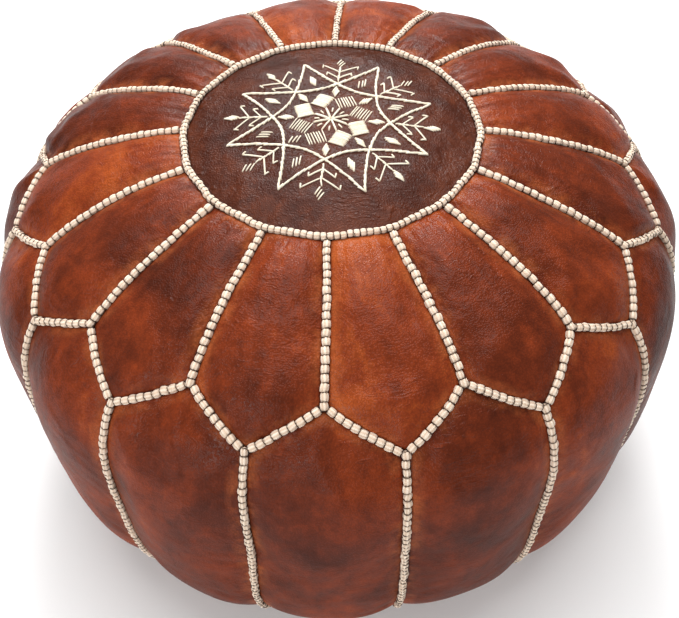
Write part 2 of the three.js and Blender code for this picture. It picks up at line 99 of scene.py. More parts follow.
# ---- Sizes ----
GORES = 16
PITCH = math.tau / GORES
LEATHER = 0.002
PANEL_BULGE = 0.007
MEDALLION_BULGE = 0.0025
CORD_R = 0.0027
RING_PULL = 0.0006  # how far the seams pull the medallion's edge into corners
SEAM_MARGIN = 0.0036
WIDEST_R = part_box("side_panel_05")[1].x - PANEL_BULGE
WIDEST_Z = 0.173
CROWN_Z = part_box("medallion")[1].z - MEDALLION_BULGE
RING_LOW, RING_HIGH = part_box("medallion_seam")
MEDALLION_SEAM_R = (RING_HIGH.x - RING_LOW.x) / 2 - CORD_R
CROWN_SHIFT = np.array([(RING_LOW.x + RING_HIGH.x) / 2, (RING_LOW.y + RING_HIGH.y) / 2, 0])
BASE_EDGE_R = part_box("base_panel_front")[1].x
FLOOR_SEAM_R = BASE_EDGE_R + SEAM_MARGIN + 0.001
FLOOR_SEAM_Z = 0.0032
SHOULDER_IN_R = 0.217
SHOULDER_OUT_R = 0.2415
TURNING_R = 0.25  # turns a length round the pouf into an angle
SEAM_WANDER = 0.0022  # how far the seams stray sideways, and
SEAM_SLIP = 0.0018  # up and down
COVER_SWELL = 0.0016  # how far the stuffing swells or sinks
DOME_PLAN_POWER, DOME_HEIGHT_POWER = 2.06, 3.36
SKIRT_PLAN_POWER, SKIRT_HEIGHT_POWER = 1.7, 4.1


# ---- The meridian ----
def meridian():
    """Arc, radius and height along the pouf's outline, from the crown to the floor seam."""
    turn = np.linspace(0, math.pi / 2, 2000)
    dome_r = WIDEST_R * np.sin(turn) ** (2 / DOME_PLAN_POWER)
    dome_z = WIDEST_Z + (CROWN_Z - WIDEST_Z) * np.cos(turn).clip(0) ** (2 / DOME_HEIGHT_POWER)
    last = math.acos((FLOOR_SEAM_R / WIDEST_R) ** (SKIRT_PLAN_POWER / 2))
    depth = (WIDEST_Z - FLOOR_SEAM_Z) / math.sin(last) ** (2 / SKIRT_HEIGHT_POWER)
    turn = np.linspace(0, last, 2000)[1:]
    skirt_r = WIDEST_R * np.cos(turn) ** (2 / SKIRT_PLAN_POWER)
    skirt_z = WIDEST_Z - depth * np.sin(turn) ** (2 / SKIRT_HEIGHT_POWER)
    r, z = np.r_[dome_r, skirt_r], np.r_[dome_z, skirt_z]
    arc = np.r_[0, np.cumsum(np.hypot(np.diff(r), np.diff(z)))]
    even = np.linspace(0, arc[-1], 1500)
    return even, np.interp(even, arc, r), np.interp(even, arc, z)


ARCS, RADII, HEIGHTS = meridian()
FLOOR_ARC = float(ARCS[-1])


def arc_at_radius(r):
    dome = RADII.argmax()
    return float(np.interp(r, RADII[:dome], ARCS[:dome]))


MEDALLION_ARC = arc_at_radius(MEDALLION_SEAM_R)
SHOULDER_IN_ARC = arc_at_radius(SHOULDER_IN_R)
SHOULDER_OUT_ARC = arc_at_radius(SHOULDER_OUT_R)
ZIGZAG_DROP = SHOULDER_OUT_ARC - SHOULDER_IN_ARC


def smooth(share):
    share = np.clip(share, 0, 1)
    return share * share * (3 - 2 * share)


def hand_drift(heading, arc, phase):
    """A smooth wander from -1 to 1 round the pouf, as hand-cut panels have."""
    waves = ((2, 9, 1.0), (3, -14, 1.7), (5, 21, -2.3), (9, -30, 3.1), (14, 40, -4.7))
    return sum(np.sin(m * heading + k * arc + phase * p) for m, k, p in waves) / 3.2


def outward(heading, arc):
    """Unit directions out of the pouf, with the slope taken over a short chord."""
    reach = 0.002
    rise = np.interp(arc + reach, ARCS, HEIGHTS) - np.interp(arc - reach, ARCS, HEIGHTS)
    run = np.interp(arc + reach, ARCS, RADII) - np.interp(arc - reach, ARCS, RADII)
    length = np.hypot(rise, run)
    flat = -rise / length
    return np.stack([flat * np.sin(heading), -flat * np.cos(heading), run / length + 0 * heading], -1)


def on_pouf(heading, arc, lift=0.0):
    """Points on the pouf, with the small wander of hand work between the medallion and the floor."""
    heading, arc = np.broadcast_arrays(np.asarray(heading, float), np.asarray(arc, float))
    loose = np.clip((arc - MEDALLION_ARC) / 0.05, 0, 1) * np.clip((FLOOR_ARC - arc) / 0.08, 0, 1)
    swell = COVER_SWELL * loose * hand_drift(heading, arc, 5.3)
    turned = heading + SEAM_WANDER * loose * hand_drift(heading, arc, 2.1) / TURNING_R
    pulled = RING_PULL * np.cos(GORES * heading) * np.clip(1 - (arc - MEDALLION_ARC) / 0.04, 0, 1)
    slid = arc + pulled + SEAM_SLIP * loose * hand_drift(heading, arc, 8.7)
    r, z = np.interp(slid, ARCS, RADII), np.interp(slid, ARCS, HEIGHTS)
    settled = smooth((arc - MEDALLION_ARC) / (SHOULDER_IN_ARC - MEDALLION_ARC))
    base = np.stack([r * np.sin(turned), -r * np.cos(turned), z], -1)
    base = base + CROWN_SHIFT * (1 - settled)[..., None]
    return base + outward(turned, slid) * (np.asarray(lift) + swell)[..., None]


# ---- Mesh helpers ----
def add_marks(data, marks):
    """Values at a mesh's points, under the names that the materials read."""
    for key, values in marks.items():
        layer = data.attributes.new(key, "FLOAT", "POINT")
        layer.data.foreach_set("value", np.asarray(values, np.float32).ravel())


def mesh_piece(name, verts, faces, marks=None):
    data = bpy.data.meshes.new(name)
    data.from_pydata(np.asarray(verts).tolist(), [], [[int(corner) for corner in face] for face in faces])
    add_marks(data, marks or {})
    data.polygons.foreach_set("use_smooth", [True] * len(data.polygons))
    data.update()
    piece = bpy.data.objects.new(name, data)
    bpy.context.scene.collection.objects.link(piece)
    return piece


def grid_faces(rows, columns, first=0):
    index = first + np.arange(rows * columns).reshape(rows, columns)
    corners = index[:-1, :-1], index[1:, :-1], index[1:, 1:], index[:-1, 1:]
    return np.stack(corners, -1).reshape(-1, 4)


def corner_array(data):
    flat = np.empty(len(data.vertices) * 3, np.float32)
    data.vertices.foreach_get("co", flat)
    return flat.reshape(-1, 3).astype(float)


def make_active(piece):
    bpy.ops.object.select_all(action="DESELECT")
    piece.select_set(True)
    bpy.context.view_layer.objects.active = piece


def edit_all(piece):
    """Edit mode on one piece, with all of it selected."""
    make_active(piece)
    bpy.ops.object.mode_set(mode="EDIT")
    bpy.ops.mesh.select_all(action="SELECT")


def apply_modifiers(piece):
    make_active(piece)
    for modifier in list(piece.modifiers):
        bpy.ops.object.modifier_apply(modifier=modifier.name)


def give_thickness(piece, thickness, levels=1):
    """A closed skin with rounded edges: the wall is laid inwards and then subdivided."""
    wall = piece.modifiers.new("wall", "SOLIDIFY")
    wall.thickness = thickness
    wall.offset = -1
    wall.use_even_offset = False
    if levels:
        round_off = piece.modifiers.new("round", "SUBSURF")
        round_off.levels = round_off.render_levels = levels
    apply_modifiers(piece)


def start_mesh(name):
    """Names the primitive just added and settles its place, in edit mode with all of it selected."""
    made = bpy.context.active_object
    made.name = made.data.name = name
    make_active(made)
    bpy.ops.object.transform_apply(location=True, rotation=True, scale=True)
    edit_all(made)
    return made


def finish_mesh(piece, angle=180):
    bpy.ops.object.mode_set(mode="OBJECT")
    make_active(piece)
    bpy.ops.object.shade_smooth_by_angle(angle=math.radians(angle))
    return piece


def select_where(piece, kind, test):
    """Selects only the vertices, edges or faces of a mesh in edit mode whose middle passes a test."""
    bpy.ops.mesh.select_mode(type=kind)
    bpy.ops.mesh.select_all(action="DESELECT")
    bpy.ops.object.mode_set(mode="OBJECT")
    data = piece.data
    parts = {"VERT": data.vertices, "EDGE": data.edges, "FACE": data.polygons}[kind]
    for part in parts:
        if kind == "VERT":
            middle = part.co
        elif kind == "EDGE":
            middle = (data.vertices[part.vertices[0]].co + data.vertices[part.vertices[1]].co) / 2
        else:
            middle = part.center
        part.select = bool(test(middle))
    bpy.ops.object.mode_set(mode="EDIT")


# ---- Stuffing the cover: cloth held along its seams and blown out from inside ----
def stuff(cover, seam_vertices, slack, pressure, frames):
    cover.vertex_groups.new(name="seams").add(seam_vertices, 1.0, "REPLACE")
    spare = cover.vertex_groups.new(name="spare")
    points = corner_array(cover.data)
    heading = np.arctan2(points[:, 0], -points[:, 1])
    weights = 0.5 + 0.5 * hand_drift(heading * 5, points[:, 2] * 3.1, 1.3)
    for index, weight in enumerate(weights.clip(0, 1)):
        spare.add([index], float(weight), "REPLACE")
    cloth = cover.modifiers.new("stuffed", "CLOTH")
    skin = cloth.settings
    skin.quality = 5
    skin.mass = 0.02
    skin.tension_stiffness = skin.compression_stiffness = skin.shear_stiffness = 15
    skin.bending_model = "ANGULAR"
    skin.bending_stiffness = 0.45
    skin.use_pressure = True
    skin.uniform_pressure_force = pressure
    skin.vertex_group_mass = "seams"
    skin.pin_stiffness = 1
    skin.vertex_group_shrink = "spare"
    skin.shrink_min, skin.shrink_max = slack
    skin.effector_weights.gravity = 0
    cloth.collision_settings.use_collision = False
    cloth.point_cache.frame_start = 1
    cloth.point_cache.frame_end = frames
    for step in range(1, frames + 1):
        bpy.context.scene.frame_set(step)
    apply_modifiers(cover)
    bpy.context.scene.frame_set(1)
    return corner_array(cover.data)


# ---- Upper and side panels ----
COLUMNS = 24
UPPER_ROWS = 32
SIDE_ROWS = 64
SEAM_SINK = 0.0010  # how far the leather sinks under the cord
PLAN_R = 0.24  # turns an angle across a panel into a length for its UV map


def panel_grid(kind, index):
    """Headings, arcs, lifts and distances to the seam of one panel's grid, row by row from its top edge."""
    rows = UPPER_ROWS if kind == "upper" else SIDE_ROWS
    across = np.linspace(-1, 1, COLUMNS + 1)[None, :]
    down = np.linspace(0, 1, rows + 1)[:, None]
    point = ZIGZAG_DROP * np.abs(across)
    if kind == "upper":
        middle, top, bottom = (index + 0.5) * PITCH, MEDALLION_ARC + 0 * across, SHOULDER_OUT_ARC - point
    else:
        middle, top, bottom = index * PITCH, SHOULDER_IN_ARC + point, FLOOR_ARC + 0 * across
    arc = top + (bottom - top) * down
    heading = middle + across * PITCH / 2 + 0 * down
    radius = np.interp(arc, ARCS, RADII)
    to_side = (1 - np.abs(across)) * PITCH / 2 * radius
    to_end = np.minimum(down, 1 - down) * (bottom - top)
    lift = PANEL_BULGE * (1 - np.abs(across) ** 3) * (1 - np.abs(2 * down - 1) ** 6) - SEAM_SINK
    return heading, arc, lift, np.minimum(to_side, to_end)


def folds_from(corner_heading, corner_arc, grid, draw):
    """Folds of slack leather that fan out from the corner where three seams meet, from -1 to 1."""
    heading, arc, _, near = grid
    aside = (heading - corner_heading) * np.interp(arc, ARCS, RADII)
    away = np.abs(arc - corner_arc)
    reach = np.hypot(aside, away)
    fan = np.arctan2(aside, away + 0.012) * draw.uniform(5, 9) + draw.uniform(0, math.tau)
    bend = draw.uniform(0.4, 1.2) * np.sin(reach * draw.uniform(40, 80) + draw.uniform(0, math.tau))
    ridges = 1 - 1.6 * np.abs(np.sin((fan + bend) / 2))
    return ridges * np.exp(-reach / draw.uniform(0.035, 0.075)) * smooth(near / 0.010) * draw.uniform(0.3, 1)


def gathers(kind, index, grid, draw):
    """How far the folds and puckers of one panel stand out of it."""
    heading, arc, _, near = grid
    if kind == "side":
        lift = 0.0040 * folds_from(index * PITCH, SHOULDER_IN_ARC, grid, draw)
        for side in (-0.5, 0.5):
            lift = lift + 0.0024 * folds_from((index + side) * PITCH, SHOULDER_OUT_ARC, grid, draw)
        return lift
    lift = 0.0024 * folds_from((index + 0.5) * PITCH, SHOULDER_OUT_ARC, grid, draw)
    for side in (0, 1):
        lift = lift + 0.0028 * folds_from((index + side) * PITCH, SHOULDER_IN_ARC, grid, draw)
    puckers = np.sin(heading * draw.uniform(70, 110) + arc * draw.uniform(-40, 40))
    return lift + 0.0009 * puckers * np.exp((MEDALLION_ARC - arc) / 0.018) * smooth(near / 0.008)


def stuffed_panels():
    """Both rings of panels are welded into one cover, stuffed together, and then cut apart at the seams."""
    cuts = [(kind, index) for kind in ("upper", "side") for index in range(GORES)]
    grids = [panel_grid(*cut) for cut in cuts]
    points = [on_pouf(heading, arc, lift) for heading, arc, lift, _ in grids]
    faces, first = [], 0
    for point in points:
        faces.append(grid_faces(point.shape[0], point.shape[1], first))
        first += point.shape[0] * point.shape[1]
    stacked = np.concatenate([point.reshape(-1, 3) for point in points])
    cover = mesh_piece("cover", stacked, np.concatenate(faces))
    edit_all(cover)
    bpy.ops.mesh.remove_doubles(threshold=0.00002)
    bpy.ops.object.mode_set(mode="OBJECT")

    welded = corner_array(cover.data)
    tree = KDTree(len(welded))
    for index, corner in enumerate(welded):
        tree.insert(corner, index)
    tree.balance()
    home = [np.array([tree.find(corner)[1] for corner in point.reshape(-1, 3)]) for point in points]
    seams = np.unique(np.concatenate([h[(g[3] < 1e-6).ravel()] for h, g in zip(home, grids)]))
    stuffed = welded
    stuffed = stuff(cover, seams.tolist(), slack=(-0.004, -0.045), pressure=8.0, frames=20)
    bpy.data.objects.remove(cover)

    panels = []
    draw = np.random.default_rng(37315)
    draw_folds = np.random.default_rng(5)
    for (kind, index), grid, vertices in zip(cuts, grids, home):
        shape = grid[0].shape
        # Side panels draw their tone from a lower range: random tone plus painted shade that darkens the
        # sides, which get less light than the top.
        tone = draw.uniform(-1, 1) if kind == "upper" else draw.uniform(-0.95, 0.25)
        near = {"seam_distance": grid[3], "tone": np.full(shape, tone)}
        folds = gathers(kind, index, grid, draw_folds)[..., None] * outward(grid[0], grid[1])
        skin = stuffed[vertices] + folds.reshape(-1, 3)
        panel = mesh_piece(f"{kind}_leather_{index + 1:02d}", skin, grid_faces(*shape), near)
        add_plan(panel, *grid[:2])
        give_thickness(panel, LEATHER)
        panels.append((kind, index, panel))
    return panels


def add_plan(panel, heading, arc):
    """A UV map in tenths of a metre: across the panel, and down it."""
    width = (heading - heading.mean()) * PLAN_R
    plan = np.stack([width, arc], -1).reshape(-1, 2) * 10
    layer = panel.data.uv_layers.new(name="plan")
    corners = np.empty(len(panel.data.loops), np.int32)
    panel.data.loops.foreach_get("vertex_index", corners)
    layer.data.foreach_set("uv", plan[corners].astype(np.float32).ravel())


def flat_plan(piece):
    """A UV map in tenths of a metre for leather that lies level."""
    layer = piece.data.uv_layers.new(name="plan")
    for loop, uv in zip(piece.data.loops, layer.data):
        uv.uv = piece.data.vertices[loop.vertex_index].co.xy * 10


# ---- Medallion ----
MEDALLION_CELLS = 56


def medallion_height(r):
    return np.interp(r, RADII[: RADII.argmax()], HEIGHTS[: RADII.argmax()])


def stuffed_medallion():
    side = np.linspace(-1, 1, MEDALLION_CELLS + 1)
    u, v = np.meshgrid(side, side)
    x = u * np.sqrt(1 - v * v / 2) * MEDALLION_SEAM_R
    y = v * np.sqrt(1 - u * u / 2) * MEDALLION_SEAM_R
    r = np.hypot(x, y)
    edge = (r / MEDALLION_SEAM_R) ** 4
    pull = 1 + RING_PULL * np.cos(GORES * np.arctan2(x, -y)) / MEDALLION_SEAM_R * edge
    x, y = x * pull, y * pull
    crown = MEDALLION_BULGE * (1 - edge)
    points = np.stack([x, y, medallion_height(r) + crown - SEAM_SINK], -1) + CROWN_SHIFT
    near = {"seam_distance": MEDALLION_SEAM_R - r, "tone": 0 * r}
    faces = grid_faces(*u.shape)[:, ::-1]
    disc = mesh_piece("medallion_leather", points.reshape(-1, 3), faces, near)
    flat_plan(disc)
    rim = np.flatnonzero((np.abs(u) == 1).ravel() | (np.abs(v) == 1).ravel())
    stuff(disc, rim.tolist(), slack=(-0.001, -0.012), pressure=6.0, frames=14)
    give_thickness(disc, LEATHER)
    return disc


# ---- Cord seams ----
BEAD_PITCH = 0.0054
BEAD_R = 0.0030
RING_BEAD_PITCH = 0.0043
RING_BEAD_R = 0.0028
FLOOR_BEAD_R = 0.0025
BEAD_LIFT = 0.0007
STRAND_SIDES = 12
JITTER = np.random.default_rng(23)


def cord_bead():
    """One bead of the cord, a unit long along X: a barrel of six strands, closed at both ends."""
    across = (0, math.pi / 2, 0)
    bpy.ops.mesh.primitive_uv_sphere_add(segments=STRAND_SIDES, ring_count=5, radius=0.5, rotation=across)
    bead = start_mesh("cord_bead")
    select_where(bead, "VERT", lambda co: 0.3 < abs(co.x) < 0.49)
    bpy.ops.transform.resize(value=(1.06, 1.40, 1.40))

    def between_strands(co):
        return abs(co.x) < 0.49 and round(math.atan2(co.y, co.z) * STRAND_SIDES / math.tau) % 2 == 1

    select_where(bead, "VERT", between_strands)
    bpy.ops.transform.resize(value=(1, 0.78, 0.78))
    finish_mesh(bead)
    # The vertices between strands are marked 'hollow'; the cord material paints shade there.
    add_marks(bead.data, {"hollow": [between_strands(vertex.co) for vertex in bead.data.vertices]})
    return bead


def binding_loop():
    """One turn of the thin thread that binds the cord down, a ring round X."""
    bpy.ops.mesh.primitive_torus_add(
        major_segments=10, minor_segments=4, major_radius=1, minor_radius=0.12, rotation=(0, math.pi / 2, 0)
    )
    loop = start_mesh("binding_loop")
    bpy.ops.transform.resize(value=(1.2, 1, 1))
    return finish_mesh(loop)


def repeated(name, unit, frames):
    """One piece of many copies of a unit mesh. frames holds the copies' X, Y and Z axes and origins."""
    corners = corner_array(unit.data)
    count, copies = len(corners), len(frames)
    placed = np.einsum("nij,vi->nvj", frames[:, :3], corners) + frames[:, 3][:, None, :]
    faces = [[v + count * n for v in p.vertices] for n in range(copies) for p in unit.data.polygons]
    shades = np.repeat(JITTER.uniform(0, 1, copies), count)
    marks = {"along": np.tile(corners[:, 0], copies), "shade": shades}
    if "hollow" in unit.data.attributes:
        marks["hollow"] = np.tile([mark.value for mark in unit.data.attributes["hollow"].data], copies)
    return mesh_piece(name, placed.reshape(-1, 3), faces, marks)


def lengths_along(points):
    return np.r_[0, np.cumsum(np.linalg.norm(np.diff(points, axis=0), axis=1))]


def rows_at(places, length, rows):
    """Rows of coordinates read at places along a run."""
    return np.stack([np.interp(places, length, column) for column in rows.T], -1)


def seam_run(start, end, trim=(0.0, 0.0)):
    """Points and outward directions along a seam, evenly spaced, with its ends trimmed back."""
    share = np.linspace(0, 1, 200)
    heading = start[0] + (end[0] - start[0]) * share
    arc = start[1] + (end[1] - start[1]) * share
    points = on_pouf(heading, arc)
    length = lengths_along(points)
    kept = np.linspace(trim[0], length[-1] - trim[1], 200)
    normals = outward(np.interp(kept, length, heading), np.interp(kept, length, arc))
    return rows_at(kept, length, points), normals


def unit(vectors):
    return vectors / np.linalg.norm(vectors, axis=-1, keepdims=True)


def bead_frames(run, pitch, radius, lift):
    """Frames for the beads of one run, and for the binding loops between them."""
    path, normals = run
    length = lengths_along(path)
    count = max(1, round(length[-1] / pitch))
    step = length[-1] / count

    def frames(places, long, wide, rise, slant, roll):
        up = unit(rows_at(places, length, normals))
        along = unit(rows_at(places + step / 2, length, path) - rows_at(places - step / 2, length, path))
        along = unit(along + unit(np.cross(up, along)) * slant[:, None])
        side = unit(np.cross(up, along))
        wander = side * JITTER.normal(0, 0.00022, len(places))[:, None]
        turned = side * np.cos(roll)[:, None] + np.cross(along, side) * np.sin(roll)[:, None]
        third = np.cross(along, turned)
        origin = rows_at(places, length, path) + up * rise + wander
        return np.stack([along * long[:, None], turned * wide[:, None], third * wide[:, None], origin], 1)

    centres = (np.arange(count) + 0.5) * step
    between = np.arange(count + 1) * step
    long = step * JITTER.normal(1.02, 0.04, count)
    wide = 2 * radius * JITTER.normal(1, 0.055, count)
    beads = frames(centres, long, wide, lift, JITTER.normal(0, 0.09, count), JITTER.normal(0, 0.25, count))
    thread = np.full(count + 1, 0.0014), np.full(count + 1, radius * 0.76)
    loops = frames(between, *thread, lift, JITTER.normal(0.12, 0.06, count + 1), 0 * between)
    return beads, loops


def sewn_seams(name, runs, bead, loop, pitch=BEAD_PITCH, radius=BEAD_R, lift=BEAD_LIFT):
    pairs = [bead_frames(run, pitch, radius, lift) for run in runs]
    cord = repeated(name + "_cord", bead, np.concatenate([p[0] for p in pairs]))
    binding = repeated(name + "_binding", loop, np.concatenate([p[1] for p in pairs]))
    return cord, binding


def ring_run(arc):
    return seam_run((0, arc), (math.tau, arc))


def knot_run(heading, arc):
    """The one bead that sits where three seams meet."""
    return seam_run((heading, arc - BEAD_PITCH / 2), (heading, arc + BEAD_PITCH / 2))


def upper_runs():
    runs = []
    for index in range(GORES):
        seam = index * PITCH
        corner = (seam, SHOULDER_IN_ARC)
        runs.append(seam_run((seam, MEDALLION_ARC), corner, (0.0034, BEAD_PITCH / 2)))
        runs.append(knot_run(*corner))
        runs.append(knot_run(seam + PITCH / 2, SHOULDER_OUT_ARC))
        for side in (-1, 1):
            runs.append(seam_run(corner, (seam + side * PITCH / 2, SHOULDER_OUT_ARC), (0.0030, 0.0030)))
    return runs


def side_runs():
    starts = [(index + 0.5) * PITCH for index in range(GORES)]
    return [seam_run((h, SHOULDER_OUT_ARC), (h, FLOOR_ARC), (BEAD_PITCH / 2, 0.0035)) for h in starts]


# ---- Embroidery ----
STAR_POINTS = 8
STAR_STEP = math.tau / STAR_POINTS
STAR_TURN = -0.082
STAR_TIP_R = 0.0755
STAR_WAIST_R = 0.0360
THREAD = 0.0016
FINE_THREAD = 0.0012
STITCH_SLIP = 0.00018
STITCH_OVERRUN = 0.0004


def unit_stitch():
    """A stitch a unit long and a unit thick, arched along X with its ends in the leather."""
    bpy.ops.mesh.primitive_cylinder_add(vertices=6, radius=0.5, depth=1, rotation=(0, math.pi / 2, 0))
    thread = start_mesh("stitch")
    select_where(thread, "EDGE", lambda co: abs(co.x) < 0.01)
    bpy.ops.mesh.subdivide(number_cuts=4)
    select_where(thread, "VERT", lambda co: abs(co.x) > 0.49)
    bpy.ops.transform.resize(value=(1, 0.55, 0.55))
    bpy.ops.transform.translate(value=(0, 0, -0.75))
    select_where(thread, "VERT", lambda co: 0.25 < abs(co.x) < 0.35)
    bpy.ops.transform.resize(value=(1.3, 0.95, 0.95))
    bpy.ops.transform.translate(value=(0, 0, -0.1))
    return finish_mesh(thread)


def star_axes(turn):
    """The plan directions away from the star's middle at a turn round it, and across that."""
    heading = turn + STAR_TURN
    out = np.array([math.sin(heading), -math.cos(heading)])
    return out, np.array([-out[1], out[0]])


def star_place(r, turn, aside=0.0):
    out, across = star_axes(turn)
    return CROWN_SHIFT[:2] + out * r + across * aside


def stitch_frame(ground, start, end, thick, rise=0.35):
    """The frame of a stitch laid from one plan point to another on the medallion."""
    ends = []
    up = Vector((0, 0, 0))
    for x, y in (start, end):
        spot, normal, _, _ = ground.ray_cast(Vector((x, y, 1)), Vector((0, 0, -1)))
        ends.append(spot)
        up += normal
    up.normalize()
    along = ends[1] - ends[0]
    side = up.cross(along).normalized() * thick
    middle = (ends[0] + ends[1]) / 2 + up * thick * rise
    return np.array([along, side, side.normalized().cross(-along).normalized() * thick, middle])


def stem_stitches(ground, points, thick, length=0.0085):
    """Overlapping slanted stitches along a line of plan points."""
    points = np.array(points)
    reach = lengths_along(points)
    count = max(2, round(reach[-1] / (length * 0.55)))
    made = []
    for index in range(count):
        middle = (index + 0.5) * reach[-1] / count
        half = length / 2 * JITTER.uniform(0.85, 1.15)
        spots = np.clip([middle - half, middle + half], 0, reach[-1])
        a, b = rows_at(spots, reach, points)
        ahead = (b - a) / max(np.linalg.norm(b - a), 1e-9)
        aside = np.array([-ahead[1], ahead[0]]) * thick * 0.36
        slip = JITTER.normal(0, STITCH_SLIP, (2, 2))
        wide = thick * JITTER.uniform(0.85, 1.1)
        made.append(stitch_frame(ground, a - aside + slip[0], b + aside + slip[1], wide))
    return made


def straight_stitch(ground, start, end, thick):
    slip = JITTER.normal(0, STITCH_SLIP, (2, 2))
    over = STITCH_OVERRUN * (end - start) / np.linalg.norm(end - start)
    wide = thick * JITTER.uniform(0.88, 1.12)
    return stitch_frame(ground, start - over + slip[0], end + over + slip[1], wide)


def leaf(ground, r, turn, length, gapped, lean=1):
    """A small slanting diamond of parallel stitches, each laid a step further along than the last."""
    threads, gap, step, thick = (3, 0.0023, 0.0014, 0.0011) if gapped else (4, 0.0012, 0.0013, 0.0015)
    out, across = star_axes(turn)
    angle = lean * math.atan2((threads - 1) * gap, length + (threads - 1) * step)
    along = out * math.cos(angle) + across * math.sin(angle)
    aside = across * math.cos(angle) - out * math.sin(angle)
    made = []
    for thread in range(threads):
        place = thread - (threads - 1) / 2
        middle = star_place(r, turn) + along * step * place - aside * gap * place * lean
        made.append(straight_stitch(ground, middle - along * length / 2, middle + along * length / 2, thick))
    return made


def gapped_pair(index):
    """The needleworker left every other pair of motifs open, with gaps between the stitches."""
    return index // 2 % 2 == 1


def star_stitching(ground):
    made = []
    corner = STAR_TIP_R * math.cos(math.pi / 4)
    slips = JITTER.uniform(-0.0015, 0.0015, (STAR_POINTS, 2))
    share = np.linspace(-1, 1, 61)
    depth = STAR_WAIST_R + (corner - STAR_WAIST_R) * np.abs(share) ** 1.5
    for index in range(STAR_POINTS):
        facing = (index + 0.5) * STAR_STEP
        line = np.array([star_place(d, facing, corner * s) for d, s in zip(depth, share)])
        before, after = slips[index - 1], slips[(index + 1) % STAR_POINTS]
        line += before * (-share).clip(0)[:, None] ** 2 + after * share.clip(0)[:, None] ** 2
        made += stem_stitches(ground, line, THREAD)
        made += leaf(ground, 0.0487, facing, 0.0085, gapped_pair(index), 1 if index % 2 else -1)
    return made


def flower_stitching(ground):
    made = []
    for index in range(STAR_POINTS):
        tip, crossing = (index + 0.5) * STAR_STEP, index * STAR_STEP
        inner, outer = star_place(0.0136, tip), star_place(0.0305, tip)
        left, right = (star_place(0.0240, tip + side * (STAR_STEP / 2 - 0.02)) for side in (-1, 1))
        threads, thick = (7, 0.0010) if gapped_pair(index) else (10, 0.0014)
        for row in range(threads):
            share = row / (threads - 1)
            start = inner + (left - inner) * share
            end = right + (outer - right) * share
            made.append(straight_stitch(ground, start, end, thick))
        made.append(straight_stitch(ground, star_place(0.0002, tip), star_place(0.0134, tip), THREAD))
        short_ray = star_place(0.0082, crossing), star_place(0.0122, crossing)
        made.append(straight_stitch(ground, *short_ray, FINE_THREAD))
        made += leaf(ground, 0.0325, crossing, 0.0072, index == 7, 1 if index % 2 else -1)
    return made


def branch_stitching(ground, index):
    crossing = index * STAR_STEP
    made = stem_stitches(ground, [star_place(r, crossing) for r in (0.0455, 0.0665)], FINE_THREAD, 0.007)
    for side in (-1, 1):
        for fork, reach, spread in ((0.0505, 0.0580, 0.0092), (0.0590, 0.0682, 0.0132)):
            end = star_place(reach, crossing, side * spread)
            hook = star_place(reach - 0.0036, crossing, side * (spread + 0.0002))
            made.append(straight_stitch(ground, star_place(fork, crossing), end, FINE_THREAD))
            made.append(straight_stitch(ground, end, hook, FINE_THREAD))
    return made + leaf(ground, 0.0722, crossing, 0.0070, gapped_pair(index + 3), 1 if index % 2 else -1)


# ---- Base and zip ----
ZIP_EDGE_Y = 0.011
ZIP_EDGE_Z = 0.0046
VALLEY_HALF_WIDTH = 0.024
PATCH_INNER_X = 0.1642
PATCH_HALF_WIDTH = 0.0125
PATCH_Z = 0.0052
PATCH_THICKNESS = 0.0012
BASE_TONE = -0.4
STITCHED_HALF_LENGTH = 0.172
TOPSTITCH_ROWS = (0.0025, 0.0075)  # from the edge beside the zip
TOPSTITCH_LENGTH = 0.0034
TOPSTITCH_GAP = 0.0013
TOPSTITCH_THREAD = 0.0008
TOOTH_PITCH = 0.0021
TOOTH_LENGTH = 0.0013
FIRST_TOOTH = 0.0009  # from the end of the rail


def valley_rise(out):
    """How high the base rises towards the zip, for a distance out from the zip's middle."""
    return ZIP_EDGE_Z * smooth((VALLEY_HALF_WIDTH - out) / (VALLEY_HALF_WIDTH - ZIP_EDGE_Y))


def base_leather(place, side):
    """Half of the base: flat on the floor, rising to the zip, with soft waves where it hangs free."""
    rows, columns = 30, 56
    out = ZIP_EDGE_Y + (BASE_EDGE_R - 0.0004 - ZIP_EDGE_Y) * np.linspace(0, 1, rows)[:, None] ** 1.15
    across = np.linspace(-1, 1, columns)[None, :]
    x = across * np.sqrt(BASE_EDGE_R**2 - np.minimum(out, BASE_EDGE_R - 0.0006) ** 2)
    y = side * out + 0 * across
    waves = 0.0005 * (1 + np.sin(x * 60 + y * 31) * np.sin(y * 47 - x * 22))
    near = np.minimum(BASE_EDGE_R - np.hypot(x, y), out - ZIP_EDGE_Y)
    return level_leather("base_leather_" + place, x, y, valley_rise(out) + waves, near, side, LEATHER)


def level_leather(name, x, y, z, near, side, thickness):
    """A piece of base leather over a grid. side is -1 where the grid runs the other way round."""
    faces = grid_faces(*x.shape)
    marks = {"seam_distance": near, "tone": 0 * x + BASE_TONE}
    points = np.stack([x, y, z], -1).reshape(-1, 3)
    piece = mesh_piece(name, points, faces if side > 0 else faces[:, ::-1], marks)
    flat_plan(piece)
    give_thickness(piece, thickness)
    return piece


def zip_end_patch(side):
    """A small leather patch behind the base that closes the slot beyond each end of the zip."""
    outer = BASE_EDGE_R - 0.0012
    across = np.linspace(-PATCH_HALF_WIDTH, PATCH_HALF_WIDTH, 14)
    x, y = np.meshgrid(np.linspace(PATCH_INNER_X, outer, 12), across)
    near = np.minimum(np.minimum(x - PATCH_INNER_X, outer - x), PATCH_HALF_WIDTH - np.abs(y))
    z = PATCH_Z + 0.0004 * smooth(near / 0.004)
    name = "zip_end_patch_" + ("left" if side < 0 else "right")
    return level_leather(name, side * x, y, z, near + 0.002, side, PATCH_THICKNESS)


